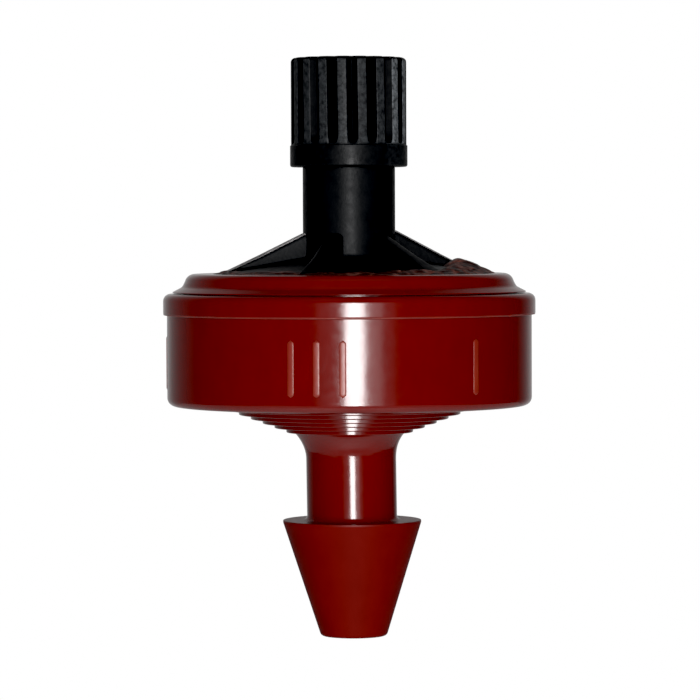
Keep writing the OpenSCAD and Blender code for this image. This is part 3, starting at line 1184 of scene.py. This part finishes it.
@dataclass
class OutletCover(SubAssembly):
    """The black cover: flange, boss, cone, gussets, stem and nipple.

    Attributes:
        boss_radius: Radius of the boss inside the ring.
        flange_radius: Radius of the flange under the ring.
        flange_top: Height of the flange's top.
        stem_radius: Radius of the stem.
        stem_top: Height at which the stem ends and the nipple begins.
        nipple_radius: Radius of the nipple.
        nipple_bead: Length of the nipple from its bead's foot to its end.
        bead_length: Length of the nipple's bead.
        bead_proud: How far the bead stands out.
        bore_radius: Radius of the outlet bore.
        cone_edge: Height of the cone's outer edge.
        cone_rise: How far the cone rises from there to the stem.
        hollow_radius: Radius of the hollow over the diaphragm.
        metering: Height of the metering seat's face.
        metering_width: Width of that face.
        ceiling: Height of the hollow's ceiling.
        gussets: Number of gussets.
        gusset_phase: Direction of the first one, in degrees.
        gusset_width: Width of a gusset.
        gusset_height: Its height where it meets the stem.
        gusset_root: How far it reaches under the cone.
        gusset_flare: Width of the fillet along its foot.
        gusset_round: Radius of its upper edges.
        first_raised: How much higher the first gusset stands.
        highlit_gussets: Numbers of the gussets whose top edges carry a painted highlight.
        skin: Thickness of the pale skin painted on as a highlight.
        segments: Number of steps of the shell round the axis.
    """

    boss_radius: float = 5.85 * MM
    flange_radius: float = 7.1 * MM
    flange_top: float = 6.38 * MM
    stem_radius: float = 2.1 * MM
    stem_top: float = 12.07 * MM
    nipple_radius: float = 1.7 * MM
    nipple_bead: float = 1.2 * MM
    bead_length: float = 0.5 * MM
    bead_proud: float = 0.15 * MM
    bore_radius: float = 0.75 * MM
    cone_edge: float = 7.28 * MM
    cone_rise: float = 0.65 * MM
    hollow_radius: float = 5.9 * MM
    metering: float = 5.152 * MM
    metering_width: float = 0.75 * MM
    ceiling: float = 5.45 * MM
    gussets: int = 6
    gusset_phase: float = 12.0
    gusset_width: float = 0.8 * MM
    gusset_height: float = 1.15 * MM
    gusset_root: float = 0.3 * MM
    gusset_flare: float = 0.12 * MM
    gusset_round: float = 0.25 * MM
    first_raised: float = 0.13 * MM
    highlit_gussets: tuple[int, ...] = (0, 3)
    skin: float = 0.012 * MM
    segments: int = 240

    def build(self) -> None:
        """Builds the cover's shell, its gussets and the painted highlight on two of them."""
        low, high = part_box("outlet_cover")
        foot, top = low.z, high.z
        bead = top - self.nipple_bead
        stem_foot = self.cone_edge + self.cone_rise
        corners = [
            (self.bore_radius, self.metering, 0.05 * MM),
            (self.bore_radius + self.metering_width, self.metering, 0.05 * MM),
            (self.bore_radius + self.metering_width, self.ceiling, 0.05 * MM),
            (self.hollow_radius, self.ceiling, 0.1 * MM),
            (self.hollow_radius, foot, 0.05 * MM),
            (self.flange_radius, foot, 0.05 * MM),
            (self.flange_radius, self.flange_top, 0.03 * MM),
            (self.boss_radius, self.flange_top, 0.03 * MM),
            (self.boss_radius, self.cone_edge, 0.06 * MM),
            (self.stem_radius, stem_foot, 0.3 * MM),
            (self.stem_radius, self.stem_top, 0.05 * MM),
            (self.nipple_radius, self.stem_top, 0.05 * MM),
            (self.nipple_radius, bead - self.bead_proud, 0.05 * MM),
            (self.nipple_radius + self.bead_proud, bead, 0.05 * MM),
            (self.nipple_radius + self.bead_proud, bead + self.bead_length, 0.1 * MM),
            (self.nipple_radius - self.bead_proud, top, 0.08 * MM),
            (self.bore_radius, top, 0.05 * MM),
        ]
        outline = divide_stretch(round_corners(corners, closed=True), stem_foot, self.stem_top, 12)
        shell = revolve("cover_shell", outline, self.segments)
        self.place(shell, Slot.BLACK, stands_for="outlet_cover")
        step = 360 / self.gussets
        fins, edges = [], []
        for k in range(self.gussets):
            degrees = self.gusset_phase + k * step
            raised = self.first_raised if k == 0 else 0
            fins.append(self.gusset(degrees, f"gusset_{k}", raised))
            # Two gussets get a pale skin on their top edge: a painted highlight.
            if k in self.highlit_gussets:
                edges.append(self.gusset(degrees, f"edge_{k}", raised, highlight_only=True))
        self.place(join("cover_gussets", fins), Slot.BLACK)
        self.place(join("gusset_edge_highlights", edges), Slot.BLACK, material=self.finishes.highlight_black)

    def gusset(
        self, degrees: float, name: str, raised: float, highlight_only: bool = False
    ) -> bpy.types.Object:
        """Builds one gusset, or the pale skin of its upper edge, a painted highlight.

        Its section is an upright slab with a rounded top and flared feet, carried outwards
        while its top edge runs straight down to the boss's edge.

        Args:
            degrees: Its direction round the axis.
            name: Its name.
            raised: How much higher than the others its top edge runs.
            highlight_only: Whether to build only the thin pale skin of its top edge, a painted
            highlight.

        Returns:
            The solid.
        """
        share = np.linspace(0, 1, 24)[:, None]
        inner, outer = self.stem_radius - 0.3 * MM, self.boss_radius - 0.05 * MM
        radius = inner + share * (outer - inner)
        cone_width = self.boss_radius - self.stem_radius
        ground = self.cone_edge + (self.boss_radius - radius) * self.cone_rise / cone_width
        peak = self.cone_edge + self.cone_rise + self.gusset_height + raised
        run = np.clip((radius - self.stem_radius) / (outer - self.stem_radius), 0, 1)
        crest = np.maximum(peak + run * (self.cone_edge - peak), ground + 0.01 * MM)
        rise = crest - ground
        half = self.gusset_width / 2
        turns = np.radians(np.linspace(0, 90, 5))[None, :]
        soft = np.minimum(self.gusset_round, rise / 2)
        top_across = half - soft + soft * np.cos(turns)
        top_up = ground + rise - soft + soft * np.sin(turns)
        # The thin pale skin over the top edge: a painted highlight.
        if highlight_only:
            outer_across = half - soft + (soft + self.skin) * np.cos(turns[:, 2:])
            outer_up = ground + rise - soft + (soft + self.skin) * np.sin(turns[:, 2:])
            inner_across, inner_up = top_across[:, 2:] - self.skin, top_up[:, 2:] - self.skin
            across = np.concatenate(
                [outer_across, -outer_across[:, -2::-1], -inner_across, inner_across[:, -2::-1]], axis=1
            )
            up = np.concatenate([outer_up, outer_up[:, -2::-1], inner_up, inner_up[:, -2::-1]], axis=1)
            return self.turned(name, degrees, radius, across, up)
        flare = np.minimum(self.gusset_flare, rise)
        foot_turns = np.radians(np.linspace(0, 80, 5))[None, :]
        foot_across = half + flare * (1 - np.sin(foot_turns))
        foot_up = ground + flare * (1 - np.cos(foot_turns))
        base = ground - self.gusset_root
        right_across = np.concatenate([half + flare, foot_across, top_across], axis=1)
        right_up = np.concatenate([base, foot_up, top_up], axis=1)
        across = np.concatenate([right_across, -right_across[:, ::-1]], axis=1)
        up = np.concatenate([right_up, right_up[:, ::-1]], axis=1)
        return self.turned(name, degrees, radius, across, up)

    def turned(
        self, name: str, degrees: float, radius: np.ndarray, across: np.ndarray, up: np.ndarray
    ) -> bpy.types.Object:
        """Carries sections, given as across and up at each radius, in one direction.

        Args:
            name: The object's name.
            degrees: The direction round the axis.
            radius: Each section's distance from the axis, n by 1.
            across: Sideways place of the sections' points, n by m.
            up: Height of the sections' points, n by m.

        Returns:
            The solid.
        """
        along = np.broadcast_to(radius, across.shape)
        turn = math.radians(degrees)
        x = along * math.cos(turn) - across * math.sin(turn)
        y = along * math.sin(turn) + across * math.cos(turn)
        return carry(name, np.stack([x, y, up], axis=-1)[:, ::-1])


@dataclass
class OutletCap(SubAssembly):
    """The black fluted cap that pushes on over the nipple.

    Attributes:
        flutes: Number of flutes.
        flute_depth: Depth of a flute.
        flute_phase: Direction of the first flute at the top, in degrees.
        flute_reach: Half a flute's width, in flute depths.
        twist: How far the flutes turn from the top to the collar, in degrees.
        socket_radius: Radius of the socket that takes the nipple.
        end_thickness: Thickness of the cap's end.
        collar_height: Height of the plain collar.
        collar_step: How far the collar stands out of the head.
        dimple_radius: Radius of the shallow dimple in the cap's end.
        dimple_edge: Width of its sloping edge.
        dimple_depth: Its depth.
        segments: Number of steps of the shell round the axis.
    """

    flutes: int = 18
    flute_depth: float = 0.24 * MM
    flute_phase: float = 13.0
    flute_reach: float = 1.12
    twist: float = 1.3
    socket_radius: float = 1.9 * MM
    end_thickness: float = 0.8 * MM
    collar_height: float = 1.0 * MM
    collar_step: float = 0.045 * MM
    dimple_radius: float = 0.5 * MM
    dimple_edge: float = 0.06 * MM
    dimple_depth: float = 0.04 * MM
    segments: int = 1260

    def build(self) -> None:
        """Builds the cap's shell."""
        low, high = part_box("outlet_cap")
        foot, top, radius = low.z, high.z, high.x
        head = radius - self.collar_step
        collar = foot + self.collar_height
        corners = [
            (0, top - self.dimple_depth, 0),
            (self.dimple_radius, top - self.dimple_depth, 0.03 * MM),
            (self.dimple_radius + self.dimple_edge, top, 0.03 * MM),
            (head, top, 0.2 * MM),
            (head, collar, 0.03 * MM),
            (radius, collar - self.collar_step, 0.03 * MM),
            (radius, foot, 0.1 * MM),
            (self.socket_radius, foot, 0.08 * MM),
            (self.socket_radius, top - self.end_thickness, 0.1 * MM),
            (0, top - self.end_thickness, 0),
        ]
        outline = round_corners(corners, closed=False)[::-1]
        outline = divide_stretch(outline, collar + 0.4 * MM, top - 0.3 * MM, 10)
        notches = self.flute(collar, top, head)
        shell = revolve("cap_shell", outline, self.segments, closed=False, shift=notches)
        self.place(shell, Slot.CAP, CAP_BODY, "outlet_cap")

    def flute(self, collar: float, top: float, head: float) -> Shift:
        """Gives the shift that cuts the flutes.

        Each flute is a notch, whose depth falls off evenly with the distance from its
        middle. It fades in over the collar and with the distance inside the head's own
        radius, and the flutes turn by a small twist on their way down.

        Args:
            collar: Height of the collar's top.
            top: Height of the cap's top.
            head: Radius over the crests.

        Returns:
            The function for revolve's shift.
        """

        def shift(
            angle: np.ndarray, radius: np.ndarray, height: np.ndarray
        ) -> tuple[np.ndarray, np.ndarray]:
            """Moves the outer skin inwards along the flutes.

            Args:
                angle: The points' directions, in radians.
                radius: Their distances from the axis.
                height: Their heights.

            Returns:
                The new distances and the heights.
            """
            twist = math.radians(self.twist) * (top - height) / (top - collar)
            pitch = TURN / self.flutes
            turn = angle - math.radians(self.flute_phase) - twist
            aside = np.abs(np.mod(turn + pitch / 2, pitch) - pitch / 2) * head / self.flute_depth
            wave = np.clip(self.flute_reach - aside, 0, 1)
            above = smooth_step(height, collar + 0.02 * MM, collar + 0.12 * MM)
            outside = smooth_step(radius, head - 0.5 * MM, head - 0.18 * MM)
            return radius - self.flute_depth * wave * above * outside, height

        return shift


@dataclass
class InnerParts(SubAssembly):
    """The hidden pieces, which keep the frame's own shapes and get their finishes."""

    def build(self) -> None:
        """Dresses the strainer, the labyrinth disc and the diaphragm."""
        hidden = {
            "inlet_strainer": Slot.STRAINER,
            "labyrinth_disc": Slot.NATURAL,
            "diaphragm": Slot.SILICONE,
        }
        for name, slot in hidden.items():
            self.finishes.dress(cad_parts[name], slot)
            LOG.info("%s keeps its shape and wears %s", name, slot.value)


# --------------------------------------------------------------------------------------
# Studio
# --------------------------------------------------------------------------------------


@dataclass(frozen=True)
class Panel:
    """A flat rectangular light that faces the emitter.

    Attributes:
        name: Its name.
        azimuth: Its direction from the camera's, in degrees, positive to the right.
        elevation: Its direction above the horizon, in degrees.
        reach: Its distance from the emitter, in metres.
        size: Its width and height, in metres.
        radiance: The brightness of its face.
    """

    name: str
    azimuth: float
    elevation: float
    reach: float
    size: tuple[float, float]
    radiance: float

    def make(self, middle: Vector) -> None:
        """Adds the light.

        Args:
            middle: The point that it faces.
        """
        width, height = self.size
        data = bpy.data.lights.new(self.name, "AREA")
        data.shape = "RECTANGLE"
        data.size, data.size_y = width, height
        data.energy = self.radiance * math.pi * width * height
        light = bpy.data.objects.new(self.name, data)
        a, e = math.radians(self.azimuth), math.radians(self.elevation)
        towards = Vector((math.sin(a) * math.cos(e), -math.cos(a) * math.cos(e), math.sin(e)))
        light.location = middle + towards * self.reach
        light.rotation_euler = (-towards).to_track_quat("-Z", "Y").to_euler()
        bpy.context.scene.collection.objects.link(light)


@dataclass(frozen=True)
class Sky:
    """The surroundings: plain white to the camera, dark in front and white behind to the emitter.

    Directions are the parts of a ray's own direction along X, Y and Z, from -1 to 1, and Y
    points away from the camera. Limits are a direction's two ends, then the result's.

    Attributes:
        gleam: Brightness in reflections at each direction along Y, from 0 to 1.
        gleam_right: Limits along X within which the gleam dies away.
        gleam_above: Limits along Z within which the gleam dies away.
        fill_behind: Limits along Y within which the soft fill comes in.
        fill_above: Limits along Z within which more of it comes in.
    """

    gleam: tuple[tuple[float, float], ...] = (
        (0.0, 0.0), (0.35, 0.03), (0.5, 0.09), (0.62, 0.12),
        (0.74, 0.18), (0.86, 0.27), (0.97, 0.45), (1.0, 0.55),
    )
    gleam_right: tuple[float, ...] = (0.45, 0.8, 1.0, 0.1)
    gleam_above: tuple[float, ...] = (0.6, 0.76, 1.0, 0.12)
    fill_behind: tuple[float, ...] = (0.25, 0.85, 0.03, 1.0)
    fill_above: tuple[float, ...] = (0.65, 0.95, 0.0, 0.8)

    def make(self) -> None:
        """Builds the sky: the fill for diffuse rays, the gleam for others, white for the camera."""
        world = bpy.data.worlds.new("surroundings")
        world.use_nodes = True
        bpy.context.scene.world = world
        tree = world.node_tree
        white = tree.nodes["Background"]
        white.inputs["Color"].default_value = (1, 1, 1, 1)
        place = tree.nodes.new("ShaderNodeTexCoord")
        ray = tree.nodes.new("ShaderNodeSeparateXYZ")
        tree.links.new(place.outputs["Generated"], ray.inputs["Vector"])
        kind = tree.nodes.new("ShaderNodeLightPath")
        gleam, fill = self.reflected(tree, ray), self.soft_fill(tree, ray)
        unseen = self.choose(tree, kind.outputs["Is Diffuse Ray"], gleam, fill)
        seen = self.choose(tree, kind.outputs["Is Camera Ray"], unseen, white.outputs["Background"])
        tree.links.new(seen, tree.nodes["World Output"].inputs["Surface"])

    def choose(
        self,
        tree: bpy.types.NodeTree,
        share: bpy.types.NodeSocket,
        first: bpy.types.NodeSocket,
        second: bpy.types.NodeSocket,
    ) -> bpy.types.NodeSocket:
        """Chooses between two shaders.

        Args:
            tree: The sky's nodes.
            share: 0 for the first shader and 1 for the second.
            first: One shader.
            second: The other shader.

        Returns:
            The chosen shader.
        """
        node = tree.nodes.new("ShaderNodeMixShader")
        for socket, source in enumerate((share, first, second)):
            tree.links.new(source, node.inputs[socket])
        return node.outputs["Shader"]

    def reflected(self, tree: bpy.types.NodeTree, ray: bpy.types.Node) -> bpy.types.NodeSocket:
        """Makes what glossy skins reflect: the gleam along Y, times its falls along X and Z.

        Args:
            tree: The sky's nodes.
            ray: The node that holds the ray's direction.

        Returns:
            The shader.
        """
        ramp = tree.nodes.new("ShaderNodeValToRGB")
        ramp.color_ramp.interpolation = "LINEAR"
        elements = ramp.color_ramp.elements
        while len(elements) < len(self.gleam):
            elements.new(0.5)
        for element, (position, value) in zip(elements, self.gleam):
            element.position = position
            element.color = (value, value, value, 1)
        tree.links.new(ray.outputs["Y"], ramp.inputs["Fac"])
        node = tree.nodes.new("ShaderNodeBackground")
        tree.links.new(ramp.outputs["Color"], node.inputs["Color"])
        right = map_range(tree, ray.outputs["X"], self.gleam_right)
        above = map_range(tree, ray.outputs["Z"], self.gleam_above)
        strength = combine(tree, Operation.MULTIPLY, right, above)
        tree.links.new(strength, node.inputs["Strength"])
        return node.outputs["Background"]

    def soft_fill(self, tree: bpy.types.NodeTree, ray: bpy.types.Node) -> bpy.types.NodeSocket:
        """Makes the soft light that the sky sheds from behind and from straight above.

        Args:
            tree: The sky's nodes.
            ray: The node that holds the ray's direction.

        Returns:
            The shader.
        """
        behind = map_range(tree, ray.outputs["Y"], self.fill_behind)
        above = map_range(tree, ray.outputs["Z"], self.fill_above)
        node = tree.nodes.new("ShaderNodeBackground")
        tree.links.new(combine(tree, Operation.ADD, behind, above), node.inputs["Strength"])
        return node.outputs["Background"]


@dataclass
class Studio:
    """The camera, the lights, the surroundings, the floor and the tones.

    Attributes:
        distance: From the emitter's axis to the camera.
        eye: The camera's height.
        aim: Height of the point on the axis that the camera looks at.
        side: How far the camera stands to the right.
        lens: The camera's focal length, in millimetres.
        sensor: Width of its sensor, in millimetres.
        roll: How far it is turned about its line of sight, in degrees.
        panels: The narrow front strip, a dim one beside it, and the wide front and top panels.
        sky: The surroundings.
        floor_drop: How far the floor lies under the emitter, which the pipe would hold up.
        floor_half: Half the floor's width.
        floor_grey: The floor's paleness.
        floor_glow: How much it glows.
        black_point: The tone that is pressed down to black.
    """

    distance: float = 173 * MM
    eye: float = 9.56 * MM
    aim: float = 3.74 * MM
    side: float = 0.025 * MM
    lens: float = 195.4
    sensor: float = 36.0
    roll: float = 0.2
    panels: tuple[Panel, ...] = (
        Panel("front_strip", 3.1, 2, 0.6, (0.127, 0.42), 28),
        Panel("side_strip", 14.5, 2, 0.61, (0.118, 0.42), 1.5),
        Panel("front_panel", 4, 2, 0.62, (0.55, 0.6), 0.26),
        Panel("top_panel", 0, 70, 0.6, (0.5, 0.4), 0.08),
    )
    sky: Sky = Sky()
    floor_drop: float = 450 * MM
    floor_half: float = 1200 * MM
    floor_grey: float = 0.7
    floor_glow: float = 0.06
    black_point: float = 0.008

    def build(self) -> None:
        """Builds the whole studio."""
        self.camera()
        for panel in self.panels:
            panel.make(Vector((0, 0, self.aim)))
        self.sky.make()
        self.floor()
        self.tones()

    def camera(self) -> None:
        """Places the camera in front, on the emitter's -Y side."""
        data = bpy.data.cameras.new("camera")
        data.lens, data.sensor_width = self.lens, self.sensor
        data.clip_start, data.clip_end = 0.005, 50.0
        camera = bpy.data.objects.new("camera", data)
        camera.location = (self.side, -self.distance, self.eye)
        look = Vector((self.side, 0, self.aim)) - camera.location
        upright = look.to_track_quat("-Z", "Y")
        turned = Quaternion(look, math.radians(self.roll)) @ upright
        camera.rotation_euler = turned.to_euler()
        bpy.context.scene.collection.objects.link(camera)
        bpy.context.scene.camera = camera

    def floor(self) -> None:
        """Makes the plain pale floor, which is white to the camera."""
        level = CAD_BOX[0][2] - self.floor_drop
        corners = np.array([[-1, -1], [1, -1], [1, 1], [-1, 1]]) * self.floor_half
        points = np.column_stack([corners, np.full(4, level)])
        floor = make_mesh("floor", points, np.array([[0, 1, 2, 3]]))
        material = bpy.data.materials.new("pale_floor")
        material.use_nodes = True
        nodes, links = material.node_tree.nodes, material.node_tree.links
        shader = nodes["Principled BSDF"]
        shader.inputs["Base Color"].default_value = (*(self.floor_grey,) * 3, 1)
        shader.inputs["Roughness"].default_value = 0.9
        shader.inputs["Emission Color"].default_value = (1, 1, 1, 1)
        shader.inputs["Emission Strength"].default_value = self.floor_glow
        glow = nodes.new("ShaderNodeEmission")
        kind = nodes.new("ShaderNodeLightPath")
        mix = nodes.new("ShaderNodeMixShader")
        links.new(kind.outputs["Is Camera Ray"], mix.inputs["Fac"])
        links.new(shader.outputs["BSDF"], mix.inputs[1])
        links.new(glow.outputs["Emission"], mix.inputs[2])
        links.new(mix.outputs["Shader"], nodes["Material Output"].inputs["Surface"])
        floor.data.materials.append(material)

    def tones(self) -> None:
        """Sets plain tones, with the deepest shadows pressed down to black."""
        view = bpy.context.scene.view_settings
        view.view_transform = "Standard"
        view.use_curve_mapping = True
        view.curve_mapping.black_level = (self.black_point,) * 3
        view.curve_mapping.update()


def write_sizes() -> None:
    """Updates the view layer."""
    bpy.context.view_layer.update()


def main() -> None:
    """Builds the studio and the sub-assemblies in order."""
    logging.basicConfig(level=logging.INFO, format="%(name)s: %(message)s")
    Studio().build()
    finishes = Finishes()
    finishes.make_all(barb_shoulder=-InletBody.neck_length)
    for part in (InletBody, RetainingRing, OutletCover, OutletCap, InnerParts):
        part(finishes).build()
    write_sizes()


if __name__ == "__main__":
    main()
